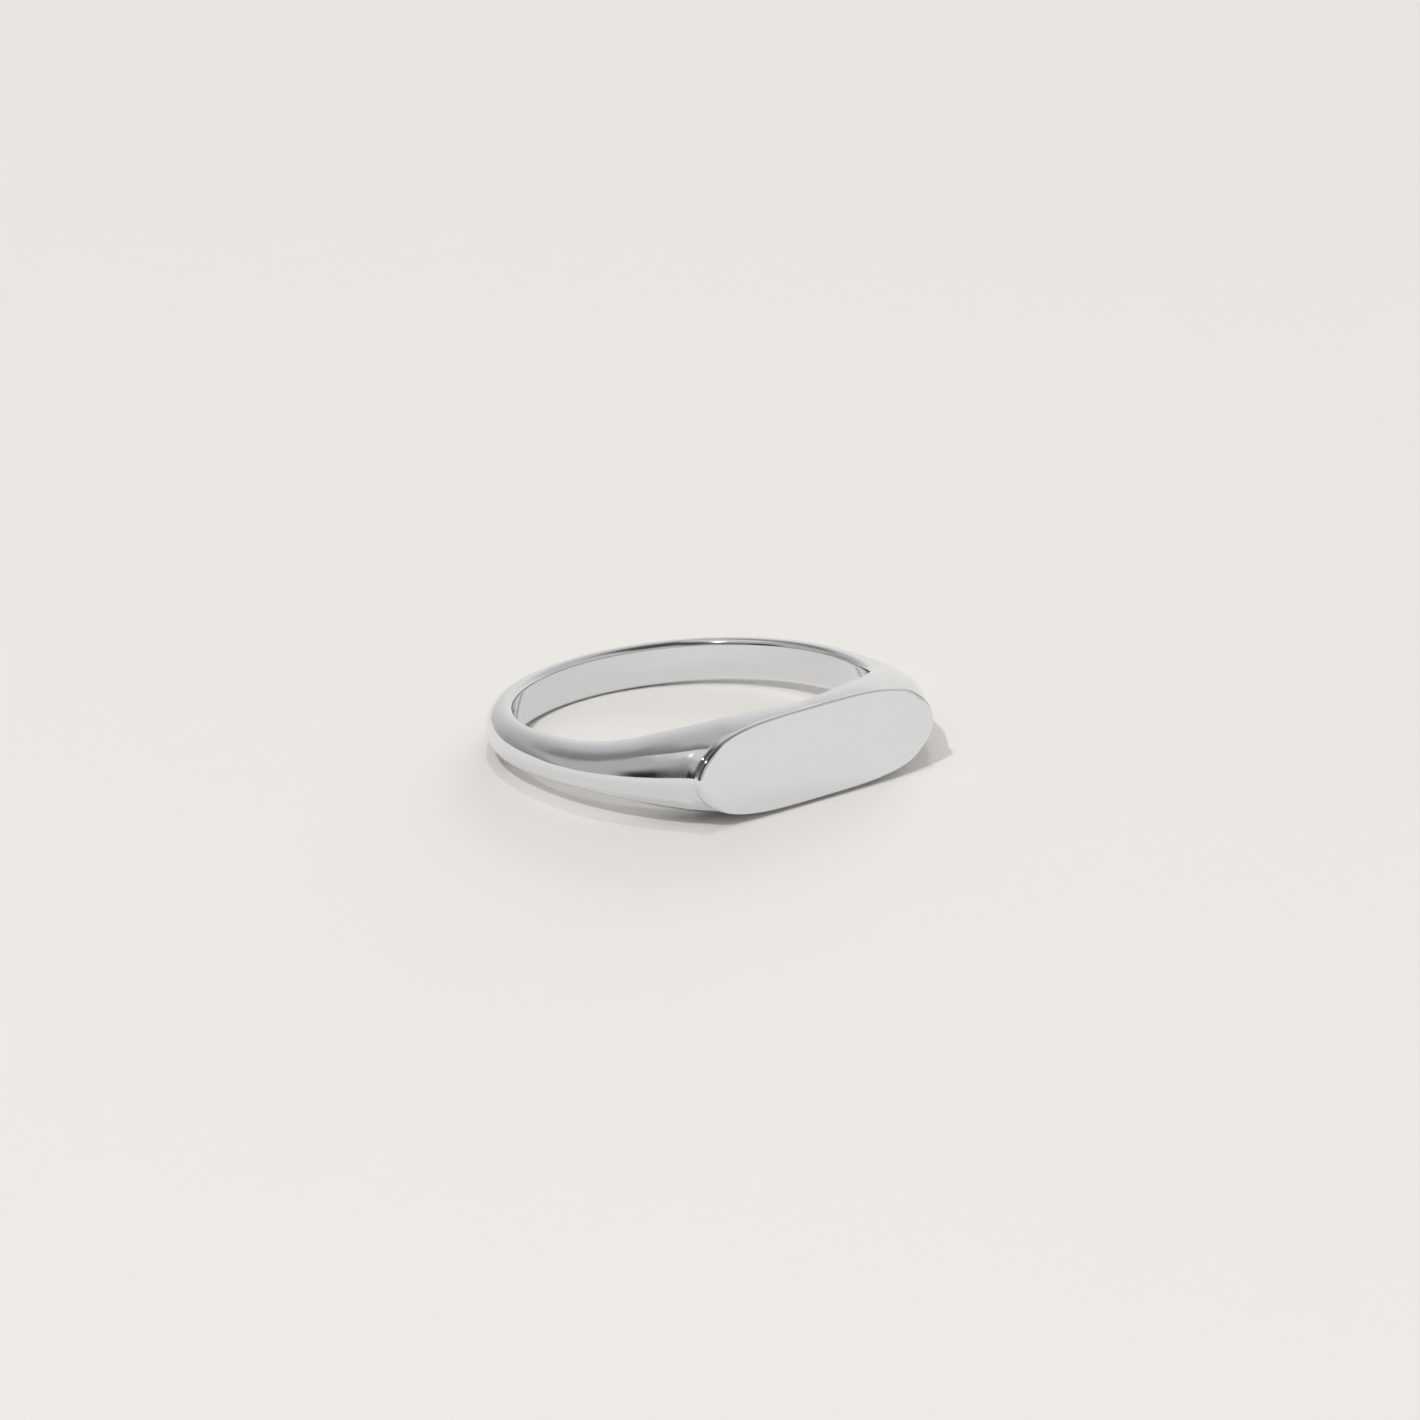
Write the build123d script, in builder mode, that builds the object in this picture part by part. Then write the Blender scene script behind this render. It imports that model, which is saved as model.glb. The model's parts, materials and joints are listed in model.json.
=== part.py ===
from build123d import *
from collections import namedtuple
from math import atan2, copysign, cos, degrees, hypot, radians, sin, sqrt, tan
import os

# A slim signet ring, cast in one piece and lying on its side.
# It is drawn with the finger hole upright and the face towards -Y, then laid down.

# Driving dimensions, millimetres and degrees
FINGER_DIAMETER = 17.3       # inside of the ring, size 7
BAND_WIDTH = 2.15            # plain band, along the finger
BAND_THICKNESS = 1.4         # plain band, hole to outside
FACE_THICKNESS = 1.35        # hole to the flat face
FACE_LENGTH = 14.3           # flat face, across the finger
FACE_WIDTH = 4.54            # flat face, along the finger
FACE_FULLNESS = 3.7          # exponent of the face outline, 2 would be an ellipse
FACE_LIP = 0.12              # how far the face stands clear of the head along its sides
FACE_EDGE_ROUNDING = 0.07
END_STEP = 0.45              # how far the ends of the face stand proud of the shoulders
END_FILLET = 0.2             # hollow rounding at the foot of that step
HEAD_SWELL = 0.1             # how far the sides of the head stand out beyond the face
HOLE_ROUNDING = 0.3          # comfort rounding at both mouths of the finger hole
SHOULDER_END = 100           # angle from the middle of the face to where the band is plain
SHOULDER_ROUNDING = 0.2      # along the shoulder ridges
BAND_ROUNDING = 0.5          # along the ridges of the plain band
OUTLINE_STEPS = 32           # points round the face outline
HEAD_INSET = 0.04            # how far the front of the head keeps inside the face outline
RUN_ON = 0.2                 # share by which the sides of the head run on into the face plate

# Sizes that follow from these
finger_radius = FINGER_DIAMETER / 2
crest_radius = finger_radius + HOLE_ROUNDING
band_outside = finger_radius + BAND_THICKNESS
face_distance = finger_radius + FACE_THICKNESS
head_end = face_distance - FACE_LIP
face_angle = degrees(atan2(FACE_LENGTH / 2, face_distance))
shoulder_outside = hypot(FACE_LENGTH / 2, face_distance) - END_STEP
head_width = FACE_WIDTH + 2 * HEAD_SWELL

# Sections round one half of the ring. Along is 0 in the middle of the face, 1 at its end
# and 2 where the plain band starts. Flare is the share of the way from the band's width to
# the head's, and reach the share of the way from the band's outside to the shoulder's. The
# ridge lies in from the outside by a share of the wall beyond the crest, and stands at a
# share of the half width. Rounding is the share of the way from the shoulder's to the band's.
Row = namedtuple("Row", "along flare reach ridge_in ridge_up rounding")
ROWS = (
    Row(along=0.00, flare=0.98, reach=0.40, ridge_in=None, ridge_up=None, rounding=0.0),
    Row(along=0.42, flare=1.00, reach=0.74, ridge_in=None, ridge_up=None, rounding=0.0),
    Row(along=0.70, flare=0.95, reach=1.03, ridge_in=None, ridge_up=None, rounding=0.0),
    Row(along=0.84, flare=0.88, reach=1.06, ridge_in=0.21, ridge_up=0.72, rounding=0.0),
    Row(along=1.00, flare=0.78, reach=1.00, ridge_in=0.20, ridge_up=0.72, rounding=0.0),
    Row(along=1.15, flare=0.57, reach=0.80, ridge_in=0.22, ridge_up=0.70, rounding=0.0),
    Row(along=1.37, flare=0.22, reach=0.49, ridge_in=0.25, ridge_up=0.70, rounding=0.2),
    Row(along=1.53, flare=0.07, reach=0.30, ridge_in=0.24, ridge_up=0.68, rounding=0.5),
    Row(along=1.69, flare=0.01, reach=0.14, ridge_in=0.23, ridge_up=0.66, rounding=0.8),
    Row(along=1.85, flare=0.00, reach=0.03, ridge_in=0.22, ridge_up=0.65, rounding=1.0),
    Row(along=2.00, flare=0.00, reach=0.00, ridge_in=0.22, ridge_up=0.65, rounding=1.0),
    Row(along=2.20, flare=0.00, reach=0.00, ridge_in=0.22, ridge_up=0.65, rounding=1.0),
    Row(along=2.40, flare=0.00, reach=0.00, ridge_in=0.22, ridge_up=0.65, rounding=1.0),
)
PLAIN = ROWS[-1]


def row_angle(row):
    """Angle of a section from the middle of the face, in degrees."""
    if row.along <= 1:
        return row.along * face_angle
    return face_angle + (row.along - 1) * (SHOULDER_END - face_angle)


def row_outside(row):
    """Outside radius of a section."""
    return band_outside + row.reach * (shoulder_outside - band_outside)


def row_crest(row):
    """Half of the ring's width at a section, at the crest of its arched side."""
    return (BAND_WIDTH + row.flare * (head_width - BAND_WIDTH)) / 2


def row_ridge(row):
    """Radius and height of the ridge of a section."""
    outside = row_outside(row)
    crest = row_crest(row)
    if row.ridge_up is not None:
        return outside - row.ridge_in * (outside - crest_radius), row.ridge_up * crest
    # Behind the face the arched side meets the wall of the face plate, and runs on inside it
    turn = radians(row_angle(row))
    across = head_end * tan(turn) / (FACE_LENGTH / 2)
    face_side = FACE_WIDTH / 2 * sqrt(1 - across ** FACE_FULLNESS) - HEAD_INSET
    run = head_end / cos(turn) - crest_radius
    drop = crest - face_side
    arch = (run ** 2 + drop ** 2) / (2 * drop)
    ridge_run = run * (1 + RUN_ON)
    return crest_radius + ridge_run, crest - arch + sqrt(arch ** 2 - ridge_run ** 2)


def section(row, angle):
    """Section of the ring: arched sides, a convex outside and rounded ridges."""
    turn = radians(angle)
    outside = row_outside(row)
    crest = row_crest(row)
    ridge_radius, ridge_height = row_ridge(row)
    inside = 2 * crest_radius - ridge_radius
    rounding = SHOULDER_ROUNDING + row.rounding * (BAND_ROUNDING - SHOULDER_ROUNDING)
    plane = Plane((0, 0, 0), x_dir=(sin(turn), -cos(turn), 0), z_dir=(-cos(turn), -sin(turn), 0))
    with BuildSketch(plane) as profile:
        with BuildLine():
            ThreePointArc((inside, ridge_height), (crest_radius, crest), (ridge_radius, ridge_height))
            ThreePointArc((ridge_radius, ridge_height), (outside, 0), (ridge_radius, -ridge_height))
            ThreePointArc((ridge_radius, -ridge_height), (crest_radius, -crest), (inside, -ridge_height))
            Line((inside, -ridge_height), (inside, ridge_height))
        make_face()
        fillet(profile.vertices().sort_by(Axis.X)[-2:], rounding)
    return profile.sketch


def outline_point(share):
    """Point of the face outline, at a share of the way round it."""
    turn = radians(360 * share)
    length_share = abs(cos(turn)) ** (2 / FACE_FULLNESS)
    return copysign(FACE_LENGTH / 2 * length_share, cos(turn)), FACE_WIDTH / 2 * sin(turn)


with BuildPart() as head:
    # Head and shoulders, lofted from one side of the band to the other
    left_side = [section(row, -row_angle(row)) for row in reversed(ROWS[1:])]
    right_side = [section(row, row_angle(row)) for row in ROWS]
    loft(left_side + right_side)
    # They end where the plain band starts
    far = 2 * shoulder_outside
    end_x = far * sin(radians(SHOULDER_END))
    end_y = -far * cos(radians(SHOULDER_END))
    with BuildSketch(Plane.XY.offset(-head_width)):
        with BuildLine():
            Polyline((0, 0), (end_x, end_y), (far, -far), (-far, -far), (-end_x, end_y), close=True)
        make_face()
    extrude(amount=2 * head_width, mode=Mode.INTERSECT)
    # The front is cut flat under the face plate
    split(bisect_by=Plane((0, -head_end, 0), z_dir=(0, 1, 0)), keep=Keep.TOP)

with BuildPart() as band:
    # Plain band round the back
    revolve(section(PLAIN, SHOULDER_END), axis=Axis.Z, revolution_arc=360 - 2 * SHOULDER_END)

with BuildPart() as plate:
    # Face plate, whose ends stand proud of the shoulders
    with BuildSketch(Plane((0, -face_distance, 0), x_dir=(1, 0, 0), z_dir=(0, 1, 0))):
        with BuildLine():
            Spline([outline_point(step / OUTLINE_STEPS) for step in range(OUTLINE_STEPS)], periodic=True)
        make_face()
    extrude(amount=FACE_THICKNESS)
    fillet(plate.edges().group_by(Axis.Y)[0], FACE_EDGE_ROUNDING)

with BuildPart() as casting:
    add(head.part)
    add(band.part)
    add(plate.part)
    # Each end of the face runs down to its shoulder in a hollow rounding
    foot = casting.edges().filter_by(GeomType.BSPLINE)
    foot = foot.filter_by_position(Axis.Y, -head_end + 0.05, -head_end + 0.6)
    foot = foot.filter_by(lambda edge: abs(edge.center().X) > 0.4 * FACE_LENGTH)
    fillet(foot, END_FILLET)
    # Finger hole, rounded at both mouths
    Hole(finger_radius)
    hole_wall = casting.faces().filter_by(GeomType.CYLINDER)
    fillet(hole_wall.edges().filter_by(GeomType.LINE, reverse=True), HOLE_ROUNDING)

# Laid down, the ring rests on the head and on the back of the band, so the face tips up
rest_tilt = max(atan2(row_crest(row) - BAND_WIDTH / 2, crest_radius * (1 + cos(radians(row_angle(row)))))
                for row in ROWS)
laid = casting.part.rotate(Axis.X, -degrees(rest_tilt))
laid_box = laid.bounding_box()

with BuildPart() as ring:
    with Locations((0, -laid_box.center().Y, -laid_box.min.Z)):
        add(laid)

os.makedirs("parts", exist_ok=True)
ring.part.label = "ring"
export_step(ring.part, "parts/ring.step")
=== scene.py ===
import json
from math import atan2, cos, degrees, hypot, pi, radians, sin

import bmesh
import bpy
from mathutils import Matrix, Vector


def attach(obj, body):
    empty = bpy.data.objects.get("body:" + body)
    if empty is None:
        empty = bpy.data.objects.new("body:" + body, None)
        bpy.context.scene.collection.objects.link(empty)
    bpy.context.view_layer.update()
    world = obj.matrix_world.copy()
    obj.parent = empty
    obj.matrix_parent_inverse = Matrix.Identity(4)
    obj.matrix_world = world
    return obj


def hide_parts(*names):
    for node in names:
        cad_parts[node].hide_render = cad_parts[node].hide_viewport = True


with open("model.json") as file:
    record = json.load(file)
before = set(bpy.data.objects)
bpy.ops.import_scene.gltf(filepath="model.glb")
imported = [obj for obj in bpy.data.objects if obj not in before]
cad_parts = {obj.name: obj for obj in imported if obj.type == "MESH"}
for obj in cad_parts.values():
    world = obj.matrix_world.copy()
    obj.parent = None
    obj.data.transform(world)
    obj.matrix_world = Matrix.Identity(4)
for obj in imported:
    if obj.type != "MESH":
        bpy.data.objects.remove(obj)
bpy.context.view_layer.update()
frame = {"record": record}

# Where the ring lies
# The ring rests on its side, on the head and on the back of the band, with its finger hole a
# little off upright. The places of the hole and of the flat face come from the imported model.
MM = 0.001
mounts = {mount["name"]: mount for mount in frame["record"]["mounts"]}
hole_centre = Vector(mounts["finger_hole"]["pos_m"])
hole_axis = Vector(mounts["finger_hole"]["axis"]).normalized()
finger_radius = mounts["finger_hole"]["dims"]["r_mm"] * MM
face_middle = Vector(mounts["face"]["pos_m"])
face_distance = (face_middle - hole_centre).length
rest_tilt = atan2(hole_axis.y, hole_axis.z)


# Silver casting
# The band, shoulders and head are one casting in sterling silver, filed to a soft D shape and
# polished. It is one skin swept round the hole: arched sides, a rounded ridge and a convex
# outside, whose width and depth grow from the band to the head. The head ends inside the plate.
BAND_WIDTH = 2.15 * MM
BAND_THICKNESS = 1.4 * MM
FACE_LENGTH = 14.3 * MM
FACE_WIDTH = 4.54 * MM
FACE_FULLNESS = 3.7
FACE_LIP = 0.12 * MM
END_STEP = 0.45 * MM
END_HOLLOW = 0.22 * MM
FACE_EDGE_ROUNDING = 0.07 * MM
FACE_END_ROUNDING = 0.27 * MM
PLATE_DEPTH = 1.2 * MM
HEAD_SWELL = 0.1 * MM
HOLE_ROUNDING = 0.3 * MM
SHOULDER_END = 100
SHOULDER_ROUNDING = 0.2 * MM
BAND_ROUNDING = 0.5 * MM
# The hollow below the ends of the face: the share of the depth that the shoulder comes up by, the
# shares of half the face's length where it begins and is full, and the depths where it starts to
# fade and is gone, as shares of the face's length
END_LIFT = 0.6
END_START = (0.72, 0.87)
END_DEPTH = (0.06, 0.1)
# Shares of half the face's length where its edge begins to be worn rounder, and is fully so
WORN_END = (0.76, 0.90)
face_angle = degrees(atan2(FACE_LENGTH / 2, face_distance))
shoulder_outside = hypot(FACE_LENGTH / 2, face_distance) - END_STEP

# How the section changes, from 0 in the middle of the face to 1 at its end, 2 where the plain
# band starts. Each list holds shares of the sizes above.
ALONG = (0.00, 0.42, 0.70, 0.84, 1.00, 1.15, 1.37, 1.53, 1.69, 1.85, 2.00)
SHARES = {
    "Flare": (0.98, 1.00, 0.95, 0.88, 0.78, 0.57, 0.22, 0.07, 0.01, 0.00, 0.00),
    "Reach": (0.40, 0.74, 1.03, 1.06, 1.00, 0.80, 0.49, 0.30, 0.14, 0.03, 0.00),
    "Ridge In": (0.39, 0.37, 0.21, 0.21, 0.20, 0.22, 0.25, 0.24, 0.23, 0.22, 0.22),
    "Ridge Up": (0.91, 0.88, 0.79, 0.72, 0.72, 0.70, 0.70, 0.68, 0.66, 0.65, 0.65),
    "Rounding": (0.00, 0.00, 0.00, 0.00, 0.00, 0.00, 0.20, 0.50, 0.80, 1.00, 1.00),
}


class Field:
    """A number in a node tree, worked on with the ordinary signs."""

    def __init__(self, tree, socket):
        self.tree = tree
        self.socket = socket

    def maths(self, operation, *others):
        node = self.tree.nodes.new("ShaderNodeMath")
        node.operation = operation
        for place, value in zip(node.inputs, (self, *others)):
            if isinstance(value, Field):
                self.tree.links.new(value.socket, place)
            else:
                place.default_value = value
        return Field(self.tree, node.outputs[0])

    def __add__(self, other):
        return self.maths("ADD", other)

    def __sub__(self, other):
        return self.maths("SUBTRACT", other)

    def __mul__(self, other):
        return self.maths("MULTIPLY", other)

    def __truediv__(self, other):
        return self.maths("DIVIDE", other)

    def __neg__(self):
        return self.maths("MULTIPLY", -1)

    def __radd__(self, other):
        return self + other

    def __rmul__(self, other):
        return self * other

    def __rsub__(self, other):
        return -self + other


def mix(share, start, end):
    """The field a share of the way from start to end."""
    return start + share * (end - start)


def stretch(share, start, end):
    """How far a share has come from start to end, from 0 to 1."""
    return ((share - start) * (1 / (end - start))).maths("MINIMUM", 1).maths("MAXIMUM", 0)


def ease(share):
    """A share from 0 to 1 with a soft start and end."""
    held = share.maths("MINIMUM", 1).maths("MAXIMUM", 0)
    return held * held * (3 - 2 * held)


def share_curve(tree, name, angle):
    """One list of shares as a smooth curve over the angle from the middle of the face."""
    node = tree.nodes.new("ShaderNodeFloatCurve")
    node.label = name
    node.mapping.use_clip = False
    shoulder = SHOULDER_END - face_angle
    places = [share * face_angle if share < 1 else face_angle + (share - 1) * shoulder for share in ALONG]
    points = node.mapping.curves[0].points
    points[0].location = (0, SHARES[name][0])
    points[1].location = (1, SHARES[name][-1])
    for place, value in list(zip(places, SHARES[name]))[1:]:
        points.new(place / CURVE_END, value)
    node.mapping.update()
    tree.links.new((angle / radians(CURVE_END)).maths("MINIMUM", 1).socket, node.inputs["Value"])
    return Field(tree, node.outputs["Value"])


# Points this close are one point
SEAM_GAP = 0.0001 * MM


def skin(tree, columns, rows):
    """A sheet of faces, with its share across and its share up as fields."""
    grid = tree.nodes.new("GeometryNodeMeshGrid")
    grid.inputs["Vertices X"].default_value = columns + 1
    grid.inputs["Vertices Y"].default_value = rows + 1
    split = tree.nodes.new("ShaderNodeSeparateXYZ")
    tree.links.new(tree.nodes.new("GeometryNodeInputPosition").outputs[0], split.inputs[0])
    across, up = (Field(tree, split.outputs[axis]) + 0.5 for axis in ("X", "Y"))
    return grid.outputs["Mesh"], across, up


def put(tree, mesh, x, y, z):
    """Moves the sheet's points to x, y and z and sews up its edges."""
    place = tree.nodes.new("ShaderNodeCombineXYZ")
    for field, socket in zip((x, y, z), place.inputs):
        tree.links.new(field.socket, socket)
    move = tree.nodes.new("GeometryNodeSetPosition")
    tree.links.new(mesh, move.inputs["Geometry"])
    tree.links.new(place.outputs[0], move.inputs["Position"])
    sew = tree.nodes.new("GeometryNodeMergeByDistance")
    sew.inputs["Distance"].default_value = SEAM_GAP
    tree.links.new(move.outputs["Geometry"], sew.inputs["Geometry"])
    return sew.outputs["Geometry"]


def choose(field, limit, before, after):
    """Before up to a limit of the field, and after past it, number by number."""
    past = field.maths("GREATER_THAN", limit)
    return [mix(past, start, end) for start, end in zip(before, after)]


def past_outline(share, rise, length, width, fullness):
    """How far a point stands past the outline of the face, from its shares of half the length and width."""
    steep_x = fullness * share.maths("POWER", fullness - 1) * 2 / length
    steep_z = rise * 4 / width
    steepness = (steep_x * steep_x + steep_z * steep_z).maths("SQRT")
    return (share.maths("POWER", fullness) + rise * rise - 1) / steepness


ring_sizes = {
    "Finger Radius": finger_radius,
    "Hole Rounding": HOLE_ROUNDING,
    "Band Width": BAND_WIDTH,
    "Band Outside": finger_radius + BAND_THICKNESS,
    "Head Width": FACE_WIDTH + 2 * HEAD_SWELL,
    "Head End": face_distance - FACE_LIP,
    "Shoulder Outside": shoulder_outside,
    "Shoulder Rounding": SHOULDER_ROUNDING,
    "Band Rounding": BAND_ROUNDING,
    "Face Distance": face_distance,
    "Face Length": FACE_LENGTH,
    "Face Width": FACE_WIDTH,
    "Face Fullness": FACE_FULLNESS,
    "Face Edge Rounding": FACE_EDGE_ROUNDING,
    "Face End Rounding": FACE_END_ROUNDING,
    "Plate Depth": PLATE_DEPTH,
    "End Hollow": END_HOLLOW,
    "End Lift": END_LIFT,
    "Rest Tilt": rest_tilt,
    "Rest Back": hole_centre.y,
    "Rest Height": hole_centre.z,
}
# Faces up the half section, from the middle of the hole's wall to the outside, and up the plate
CASTING_FACES = {"wall": 4, "mouth": 10, "side": 18, "ridge": 8, "outside": 18, "front": 3}
PLATE_FACES = {"face": 12, "edge": 8, "wall": 8, "back": 3}
# Columns of faces round half of the ring, up to the angle where the curves end and on to the back,
# and round the whole plate
CURVE_END = 102.4
CASTING_COLUMNS = (256, 64)
PLATE_COLUMNS = 320


def stops(faces):
    """Where each stretch of faces ends, from 0 to 1."""
    counts = list(faces.values())
    return [sum(counts[:place + 1]) / sum(counts) for place in range(len(counts))]


def casting_skin(tree, size):
    """The band, shoulders and head, swept round the finger hole."""
    mesh, across, up = skin(tree, 2 * sum(CASTING_COLUMNS), 2 * sum(CASTING_FACES.values()))
    half_way = 2 * across - 1
    curved = CASTING_COLUMNS[0] / sum(CASTING_COLUMNS)
    angle = mix(stretch(half_way.maths("ABSOLUTE"), 0, curved), 0, radians(CURVE_END))
    angle = mix(stretch(half_way.maths("ABSOLUTE"), curved, 1), angle, pi)
    turn = angle * half_way.maths("SIGN")
    flare, reach, ridge_in, ridge_up, rounded = (share_curve(tree, name, angle) for name in SHARES)

    mouth = size["Hole Rounding"]
    crest_radius = size["Finger Radius"] + mouth
    crest = mix(flare, size["Band Width"], size["Head Width"]) / 2
    outside = mix(reach, size["Band Outside"], size["Shoulder Outside"])
    ridge_radius = mix(ridge_in, outside, crest_radius)
    ridge_height = ridge_up * crest
    rounding = mix(rounded, size["Shoulder Rounding"], size["Band Rounding"])
    # Circles of the arched side and of the convex outside
    run = ridge_radius - crest_radius
    drop = crest - ridge_height
    side = (run * run + drop * drop) / (2 * drop)
    bulge = outside - ridge_radius
    bow = (ridge_height * ridge_height + bulge * bulge) / (2 * bulge)
    side_z = crest - side
    bow_r = outside - bow
    # The ridge's rounding touches both circles from inside
    near = side - rounding
    far = bow - rounding
    gap_r = bow_r - crest_radius
    gap_z = -side_z
    gap = (gap_r * gap_r + gap_z * gap_z).maths("SQRT")
    foot = (near * near - far * far + gap * gap) / (2 * gap)
    off = (near * near - foot * foot).maths("SQRT")
    ridge_r = crest_radius + (foot * gap_r + off * gap_z) / gap
    ridge_z = side_z + (foot * gap_z - off * gap_r) / gap
    side_turn = (ridge_z - side_z).maths("ARCTAN2", ridge_r - crest_radius)
    bow_turn = ridge_z.maths("ARCTAN2", ridge_r - bow_r)
    # The head is cut flat under the plate, so each arc ends there if it comes that far
    cut = size["Head End"] / turn.maths("COSINE").maths("MAXIMUM", 0.1)

    def arc_end(middle, radius, start, end):
        reached = ((cut - middle) / radius).maths("MINIMUM", 1).maths("MAXIMUM", -1).maths("ARCCOSINE")
        return reached.maths("MAXIMUM", end).maths("MINIMUM", start)

    side_end = arc_end(crest_radius, side, pi / 2, side_turn)
    ridge_end = arc_end(ridge_r, rounding, side_turn, bow_turn)
    outside_end = arc_end(bow_r, bow, bow_turn, 0)

    # One stretch after another, each an arc about its own middle
    level = 1 - (2 * up - 1).maths("ABSOLUTE")
    wall_stop, mouth_stop, side_stop, ridge_stop, outside_stop, _ = stops(CASTING_FACES)
    wall_height = (crest - mouth) * (1 - (1 - stretch(level, 0, wall_stop)).maths("POWER", 3))
    wall = (crest_radius, wall_height, mouth, pi - stretch(level, wall_stop, mouth_stop) * (pi / 2))
    arch = (crest_radius, side_z, side, mix(stretch(level, mouth_stop, side_stop), pi / 2, side_end))
    ridge = (ridge_r, ridge_z, rounding, mix(stretch(level, side_stop, ridge_stop), side_turn, ridge_end))
    outer = (bow_r, 0, bow, mix(stretch(level, ridge_stop, outside_stop), bow_turn, outside_end))
    arc = choose(level, mouth_stop, wall, arch)
    arc = choose(level, side_stop, arc, ridge)
    middle_r, middle_z, radius, lean = choose(level, ridge_stop, arc, outer)
    radius_here = (middle_r + radius * lean.maths("COSINE")).maths("MINIMUM", cut)
    height = (middle_z + radius * lean.maths("SINE")) * (1 - stretch(level, outside_stop, 1))
    x = radius_here * turn.maths("SINE")
    y = -radius_here * turn.maths("COSINE")
    z = height * (0.5 - up).maths("SIGN")

    # At the ends of the face the shoulders sweep up to the plate's edge in a soft hollow
    share = (x / size["Face Length"]).maths("ABSOLUTE") * 2
    rise = z * 2 / size["Face Width"]
    clear = past_outline(share, rise, size["Face Length"], size["Face Width"], size["Face Fullness"])
    # A little past 1, since the shoulder runs on under the edge
    close = (1 - clear / size["End Hollow"]).maths("MAXIMUM", 0).maths("MINIMUM", 1.2)
    depth = y + size["Face Distance"]
    near_end = ease(stretch(share, *END_START))
    near_end = near_end * (1 - ease(stretch(depth / size["Face Length"], *END_DEPTH)))
    below_edge = (depth - size["Face End Rounding"]).maths("MAXIMUM", 0)
    lift = near_end * close * close * below_edge * size["End Lift"]
    lifted = (y - lift).maths("MAXIMUM", size["Face End Rounding"] - size["Face Distance"])
    y = mix(near_end.maths("GREATER_THAN", 0), y, lifted)
    return put(tree, mesh, x, y, z)


def plate_skin(tree, size):
    """The face plate: a flat face, a rounded edge and a straight wall, closed behind."""
    mesh, across, up = skin(tree, PLATE_COLUMNS, sum(PLATE_FACES.values()))
    turn = (across - 0.5) * (2 * pi)
    sweep = turn.maths("SINE")
    share = sweep.maths("ABSOLUTE")
    half_length = size["Face Length"] / 2
    half_width = size["Face Width"] / 2
    fullness = size["Face Fullness"]
    rise = (1 - share.maths("POWER", fullness)).maths("SQRT") * turn.maths("COSINE").maths("SIGN")
    # The way that the outline faces
    lean_x = fullness * share.maths("POWER", fullness - 1) * sweep.maths("SIGN") / half_length
    lean_z = 2 * rise / half_width
    lean = (lean_x * lean_x + lean_z * lean_z).maths("SQRT")

    face_stop, edge_stop, wall_stop, _ = stops(PLATE_FACES)
    edge = stretch(up, face_stop, edge_stop) * (pi / 2)
    # The edge is crisp along the sides, and worn rounder at the ends
    soft = mix(ease(stretch(share, *WORN_END)), size["Face Edge Rounding"], size["Face End Rounding"])
    inset = soft * (1 - edge.maths("SINE"))
    depth = soft * (1 - edge.maths("COSINE"))
    depth = depth + stretch(up, edge_stop, wall_stop).maths("POWER", 2) * (size["Plate Depth"] - soft)
    fill = 1 - (1 - stretch(up, 0, face_stop)).maths("POWER", 2) - stretch(up, wall_stop, 1)
    x = (half_length * sweep - inset * lean_x / lean) * fill
    z = (half_width * rise - inset * lean_z / lean) * fill
    return put(tree, mesh, x, depth - size["Face Distance"], z)


ring_tree = bpy.data.node_groups.new("Engravable ring", "GeometryNodeTree")
ring_tree.interface.new_socket("Geometry", in_out="OUTPUT", socket_type="NodeSocketGeometry")
for size_name in ring_sizes:
    ring_tree.interface.new_socket(size_name, in_out="INPUT", socket_type="NodeSocketFloat")
size_inputs = ring_tree.nodes.new("NodeGroupInput")
ring_size = {size_name: Field(ring_tree, size_inputs.outputs[size_name]) for size_name in ring_sizes}

both = ring_tree.nodes.new("GeometryNodeJoinGeometry")
ring_tree.links.new(casting_skin(ring_tree, ring_size), both.inputs[0])
ring_tree.links.new(plate_skin(ring_tree, ring_size), both.inputs[0])
# Smooth all over, except where the skin turns by more than this many degrees
CRISP_FROM = 35
smooth = ring_tree.nodes.new("GeometryNodeSetShadeSmooth")
ring_tree.links.new(both.outputs[0], smooth.inputs["Geometry"])
corner = Field(ring_tree, ring_tree.nodes.new("GeometryNodeInputMeshEdgeAngle").outputs["Unsigned Angle"])
crisp = ring_tree.nodes.new("GeometryNodeSetShadeSmooth")
crisp.domain = "EDGE"
crisp.inputs["Shade Smooth"].default_value = False
ring_tree.links.new(smooth.outputs[0], crisp.inputs["Geometry"])
ring_tree.links.new(corner.maths("GREATER_THAN", radians(CRISP_FROM)).socket, crisp.inputs["Selection"])
# Laid down on its side
turned = ring_tree.nodes.new("ShaderNodeCombineXYZ")
ring_tree.links.new((-ring_size["Rest Tilt"]).socket, turned.inputs["X"])
moved = ring_tree.nodes.new("ShaderNodeCombineXYZ")
ring_tree.links.new(ring_size["Rest Back"].socket, moved.inputs["Y"])
ring_tree.links.new(ring_size["Rest Height"].socket, moved.inputs["Z"])
lay = ring_tree.nodes.new("GeometryNodeTransform")
ring_tree.links.new(crisp.outputs[0], lay.inputs["Geometry"])
ring_tree.links.new(turned.outputs[0], lay.inputs["Rotation"])
ring_tree.links.new(moved.outputs[0], lay.inputs["Translation"])
realize = ring_tree.nodes.new("GeometryNodeRealizeInstances")
ring_tree.links.new(lay.outputs[0], realize.inputs["Geometry"])
plated = ring_tree.nodes.new("GeometryNodeSetMaterial")

# Polished silver, with the faint haze that a buffing wheel leaves, and a painted shade on the upper half of
# the plate's wall
SILVER_COLOUR = (0.80, 0.82, 0.845, 1)
# The colour of the painted shade on the plate's wall
SHADE_COLOUR = (0.24, 0.245, 0.25, 1)
HAZE_SCALE = 900
POLISH = (0.05, 0.09)
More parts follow.
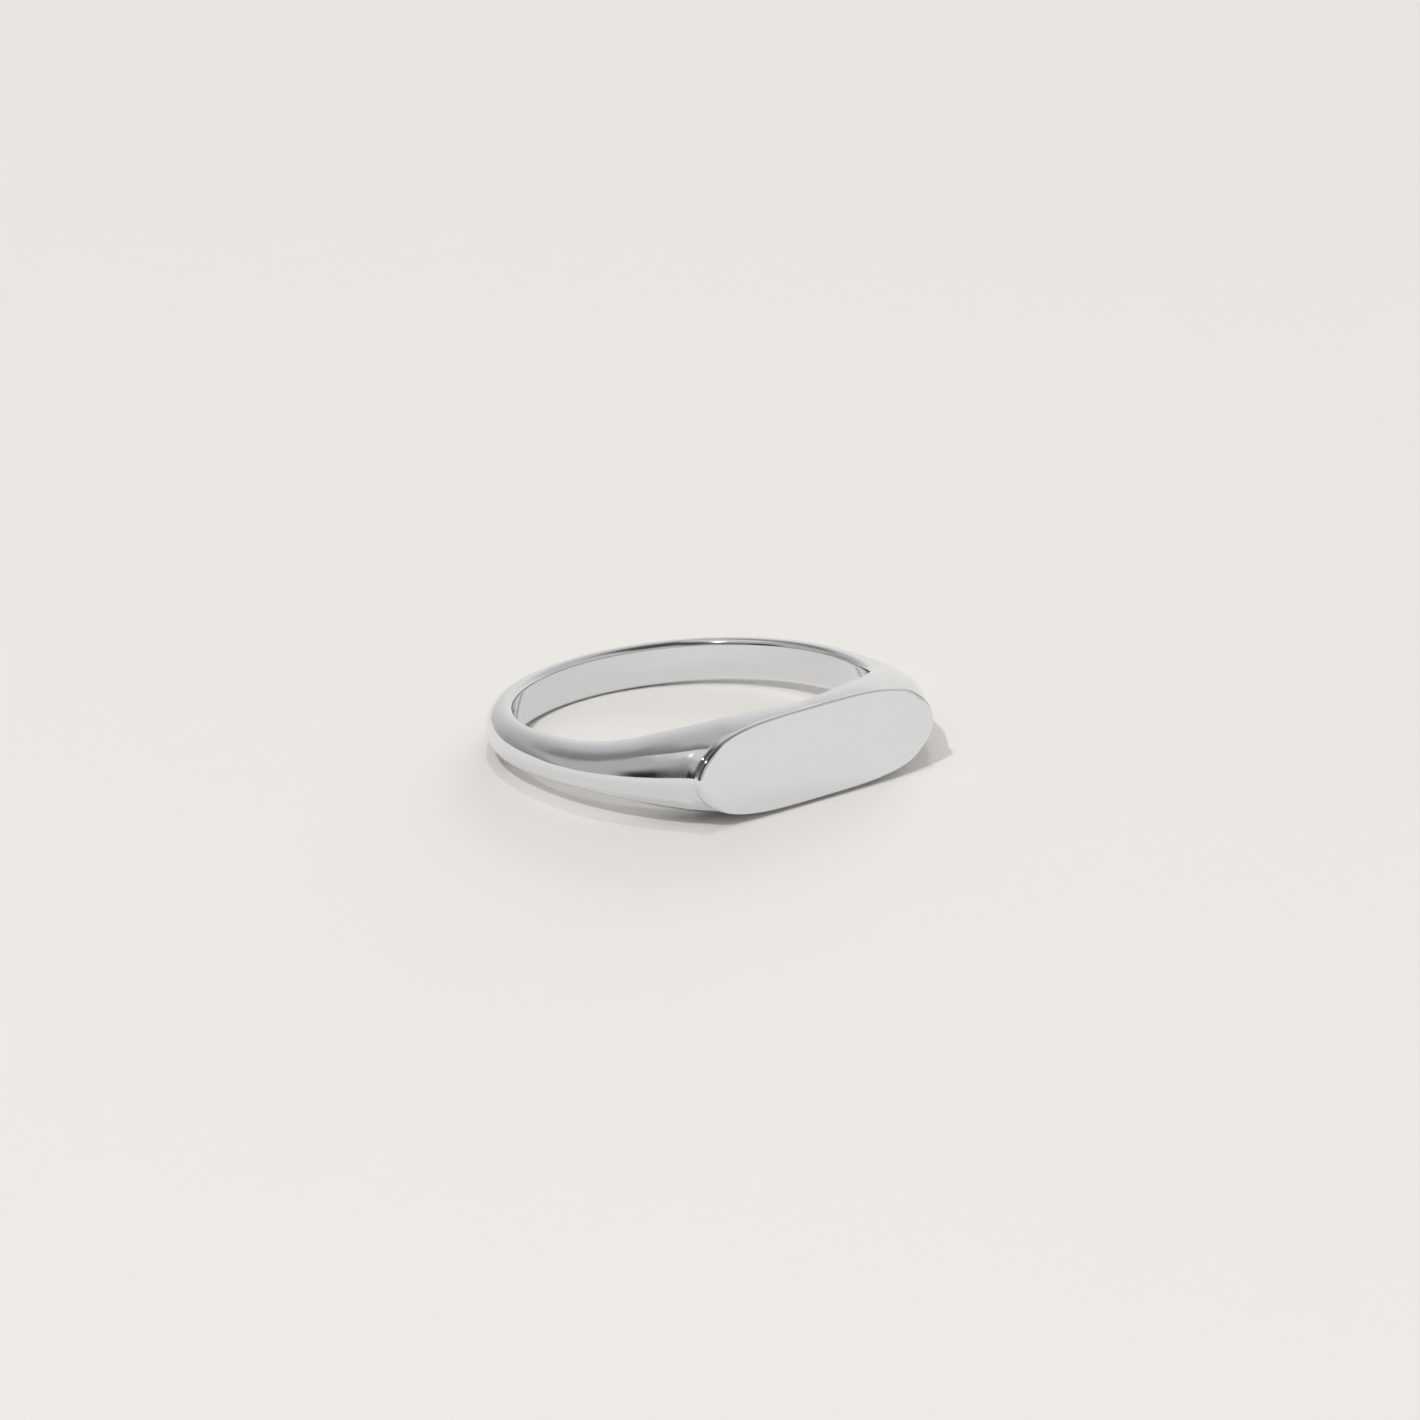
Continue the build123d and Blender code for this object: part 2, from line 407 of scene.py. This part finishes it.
# Where the painted shade on the plate's wall starts and stops: millimetres past the outline and behind the
# face, then shares of half the face's width and length
SHADE_CLEAR = (0.01, 0.05)
SHADE_FRONT = (0.04, 0.08)
SHADE_LINE = (0.12, 0.18)
SHADE_BACK = (0.9, 1.1)
SHADE_RISE = (0.1, 0.3)
SHADE_END = (0.78, 0.86)
silver = bpy.data.materials.new("polished_silver")
silver.use_nodes = True
silver_tree = silver.node_tree
metal = silver_tree.nodes["Principled BSDF"]
metal.inputs["Base Color"].default_value = SILVER_COLOUR
metal.inputs["Metallic"].default_value = 1
place = silver_tree.nodes.new("ShaderNodeTexCoord")
haze = silver_tree.nodes.new("ShaderNodeTexNoise")
haze.inputs["Scale"].default_value = HAZE_SCALE
haze.inputs["Detail"].default_value = 3
silver_tree.links.new(place.outputs["Object"], haze.inputs["Vector"])
polish = silver_tree.nodes.new("ShaderNodeMapRange")
polish.inputs["From Min"].default_value = 0.3
polish.inputs["From Max"].default_value = 0.7
polish.inputs["To Min"].default_value = POLISH[0]
polish.inputs["To Max"].default_value = POLISH[1]
silver_tree.links.new(haze.outputs["Fac"], polish.inputs["Value"])
silver_tree.links.new(polish.outputs["Result"], metal.inputs["Roughness"])
# The upper half of the plate's wall gets a painted shade: the silver there is coloured a darker grey.
# It changes the colour alone.
spot = silver_tree.nodes.new("ShaderNodeSeparateXYZ")
silver_tree.links.new(place.outputs["Object"], spot.inputs[0])
spot_x, spot_y, spot_z = (Field(silver_tree, spot.outputs[axis]) for axis in "XYZ")
from_y = spot_y - face_middle.y
from_z = spot_z - face_middle.z
depth = from_y * cos(rest_tilt) - from_z * sin(rest_tilt)
rise = (from_y * sin(rest_tilt) + from_z * cos(rest_tilt)) * (2 / FACE_WIDTH)
share = spot_x.maths("ABSOLUTE") * (2 / FACE_LENGTH)
clear = past_outline(share, rise, FACE_LENGTH, FACE_WIDTH, FACE_FULLNESS)
on_wall = (1 - stretch(clear / MM, *SHADE_CLEAR)) * stretch(depth / MM, *SHADE_FRONT)
above_middle = stretch(rise, *SHADE_RISE)
# Along the sides the painted shade is only a thin line, and at the ends it covers the whole height of the
# step
line_or_end = (1 - stretch(depth / MM, *SHADE_LINE)).maths("MAXIMUM", stretch(share, *SHADE_END))
in_front = 1 - stretch(depth / MM, *SHADE_BACK)
# Where the shade is painted on the plate's wall
painted_shade = on_wall * above_middle * line_or_end * in_front
shade = silver_tree.nodes.new("ShaderNodeMix")
shade.data_type = "RGBA"
shade.inputs["A"].default_value = SILVER_COLOUR
shade.inputs["B"].default_value = SHADE_COLOUR
silver_tree.links.new(painted_shade.socket, shade.inputs["Factor"])
silver_tree.links.new(shade.outputs["Result"], metal.inputs["Base Color"])
plated.inputs["Material"].default_value = silver
ring_tree.links.new(realize.outputs[0], plated.inputs["Geometry"])
ring_output = ring_tree.nodes.new("NodeGroupOutput")
ring_tree.links.new(plated.outputs[0], ring_output.inputs[0])

pattern = bpy.data.objects.new("ring_pattern", bpy.data.meshes.new("ring_pattern"))
bpy.context.collection.objects.link(pattern)
shaping = pattern.modifiers.new("shape", "NODES")
shaping.node_group = ring_tree
for item in ring_tree.interface.items_tree:
    if item.in_out == "INPUT":
        shaping[item.identifier] = ring_sizes[item.name]
ready = pattern.evaluated_get(bpy.context.evaluated_depsgraph_get())
ring_mesh = bpy.data.meshes.new_from_object(ready)
ring_mesh.name = "polished_ring"
bpy.data.objects.remove(pattern)
# Both skins face outwards
skins = bmesh.new()
skins.from_mesh(ring_mesh)
bmesh.ops.recalc_face_normals(skins, faces=skins.faces[:])
skins.to_mesh(ring_mesh)
skins.free()
polished_ring = bpy.data.objects.new("polished_ring", ring_mesh)
bpy.context.collection.objects.link(polished_ring)
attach(polished_ring, "root")
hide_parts("ring")


# Floor
# A plain warm white sheet of matt board that the ring lies on, with no seam or edge in view.
FLOOR_SIZE = 6.0
floor_mesh = bpy.data.meshes.new("floor")
half_floor = FLOOR_SIZE / 2
floor_mesh.from_pydata([(-half_floor, -half_floor, 0), (half_floor, -half_floor, 0),
                        (half_floor, half_floor, 0), (-half_floor, half_floor, 0)], [], [(0, 1, 2, 3)])
floor = bpy.data.objects.new("floor", floor_mesh)
bpy.context.collection.objects.link(floor)
board = bpy.data.materials.new("matt_board")
board.use_nodes = True
board_surface = board.node_tree.nodes["Principled BSDF"]
board_surface.inputs["Base Color"].default_value = (0.83, 0.81, 0.78, 1)
board_surface.inputs["Roughness"].default_value = 0.9
board_surface.inputs["Specular IOR Level"].default_value = 0.1
floor_mesh.materials.append(board)


# Camera
# A long lens about 0.6 m away, a little above the ring and to the left of its face, rolled by a
# degree and a half.
CAMERA_AZIMUTH = radians(37.004)
CAMERA_ELEVATION = radians(20.1)
CAMERA_ROLL = radians(1.506)
CAMERA_DISTANCE = 0.611
CAMERA_AIM = Vector((0.70465, -0.44520, 1.82585)) * MM
sight = Vector((-sin(CAMERA_AZIMUTH) * cos(CAMERA_ELEVATION),
                -cos(CAMERA_AZIMUTH) * cos(CAMERA_ELEVATION), sin(CAMERA_ELEVATION)))
level_right = Vector((cos(CAMERA_AZIMUTH), -sin(CAMERA_AZIMUTH), 0))
level_up = sight.cross(level_right)
right = level_right * cos(CAMERA_ROLL) - level_up * sin(CAMERA_ROLL)
up = level_right * sin(CAMERA_ROLL) + level_up * cos(CAMERA_ROLL)
lens = bpy.data.cameras.new("camera")
lens.lens = 319.25
lens.sensor_width = 36
camera = bpy.data.objects.new("camera", lens)
bpy.context.collection.objects.link(camera)
frame_of_view = Matrix((right, up, sight)).transposed().to_4x4()
camera.matrix_world = Matrix.Translation(CAMERA_AIM + CAMERA_DISTANCE * sight) @ frame_of_view
bpy.context.scene.camera = camera


# Light
# Four round lamps: a small key lamp to the left above the camera, a wide fill above the camera,
# and two that lay the shadow in front, one overhead and one low behind the ring. The silver
# mirrors the key lamp alone, and the room.
LAMPS = (
    # name, azimuth, elevation, distance, size, power, mirrored
    ("key_lamp", -156, 54, 1.2, 0.05, 4.6, True),
    ("fill_lamp", -127, 58, 1.5, 1.6, 4.2, False),
    ("top_lamp", 53, 87, 1.4, 0.1, 2.0, False),
    ("back_lamp", 30, 14, 1.4, 0.9, 8.0, False),
)
for name, azimuth, elevation, distance, lamp_size, power, mirrored in LAMPS:
    light = bpy.data.lights.new(name, "AREA")
    light.shape = "DISK"
    light.size = lamp_size
    light.energy = power
    lamp = bpy.data.objects.new(name, light)
    lamp.visible_glossy = mirrored
    bpy.context.collection.objects.link(lamp)
    level = cos(radians(elevation))
    away = Vector((cos(radians(azimuth)) * level, sin(radians(azimuth)) * level, sin(radians(elevation))))
    aimed = away.to_track_quat("Z", "Y").to_matrix().to_4x4()
    lamp.matrix_world = Matrix.Translation(away * distance) @ aimed

# The room is a pale tent, brightest behind the ring and on the right, with these gaps and panels in
# it. Over is the angle from the table on the camera's side, across the top and down to the table
# behind the ring, and aside is the share of the way to the left. Each has a middle, a half size, a
# soft edge and a brightness.
WALL_RIGHT = 0.55
WALL_LEFT = 0.46
BACK_RIGHT = 0.81
BACK_FALL = 0.56
BACK_LEFT = 0.3
BACK_START = 124
BACK_SOFT = 44
ROOM_TINT = (1.02, 1.0, 0.97)
OPENINGS = (
    # name, over, half, soft, aside, half, soft, brightness
    ("ceiling", 66, 36, 24, -0.20, 0.34, 0.30, 0.09),
    ("lamp panel", 80, 20, 14, 0.38, 0.20, 0.12, 0.68),
    ("end of the lamp panel", 94, 14, 8, 0.14, 0.12, 0.10, 0.70),
    ("gap behind the lamp", 119, 17, 18, 0.58, 0.24, 0.22, 0.24),
    ("end of that gap", 112, 7, 12, 0.30, 0.12, 0.14, 0.22),
    ("low gap to the left", 8, 22, 50, 0.55, 0.31, 0.12, 0.12),
    ("camera's stand", 6, 22, 34, 0.74, 0.11, 0.10, 0.03),
    ("camera", 33, 18, 12, 0.10, 0.15, 0.15, 0.08),
)
room = bpy.data.worlds.new("room")
room.use_nodes = True
bpy.context.scene.world = room
room_tree = room.node_tree
way = room_tree.nodes.new("ShaderNodeSeparateXYZ")
room_tree.links.new(room_tree.nodes.new("ShaderNodeTexCoord").outputs["Generated"], way.inputs[0])
way_x, way_y, way_z = (Field(room_tree, way.outputs[axis]) for axis in "XYZ")
to_camera = way_x * -sin(CAMERA_AZIMUTH) - way_y * cos(CAMERA_AZIMUTH)
aside = way_y * sin(CAMERA_AZIMUTH) - way_x * cos(CAMERA_AZIMUTH)
over = way_z.maths("MAXIMUM", 0).maths("ARCTAN2", to_camera) * degrees(1)


def within(field, middle, half, soft):
    """1 inside a stretch of the field and 0 outside, with a soft edge."""
    return ease((half - (field - middle).maths("ABSOLUTE")) / soft + 0.5)


walls = WALL_RIGHT - (WALL_RIGHT - WALL_LEFT) * ease(aside + 0.5)
for _, middle, half, soft, left, left_half, left_soft, brightness in OPENINGS:
    opening = within(over, middle, half, soft) * within(aside, left, left_half, left_soft)
    walls = mix(opening, walls, brightness)
behind = (BACK_RIGHT - BACK_FALL * aside.maths("MAXIMUM", 0)).maths("MAXIMUM", BACK_LEFT)
walls = mix(ease((over - BACK_START) / BACK_SOFT), walls, behind)
tint = room_tree.nodes.new("ShaderNodeCombineColor")
for channel, strength in zip(("Red", "Green", "Blue"), ROOM_TINT):
    room_tree.links.new((walls * strength).socket, tint.inputs[channel])
backdrop = room_tree.nodes["Background"]
room_tree.links.new(tint.outputs[0], backdrop.inputs["Color"])

bpy.context.scene.view_settings.view_transform = "Standard"
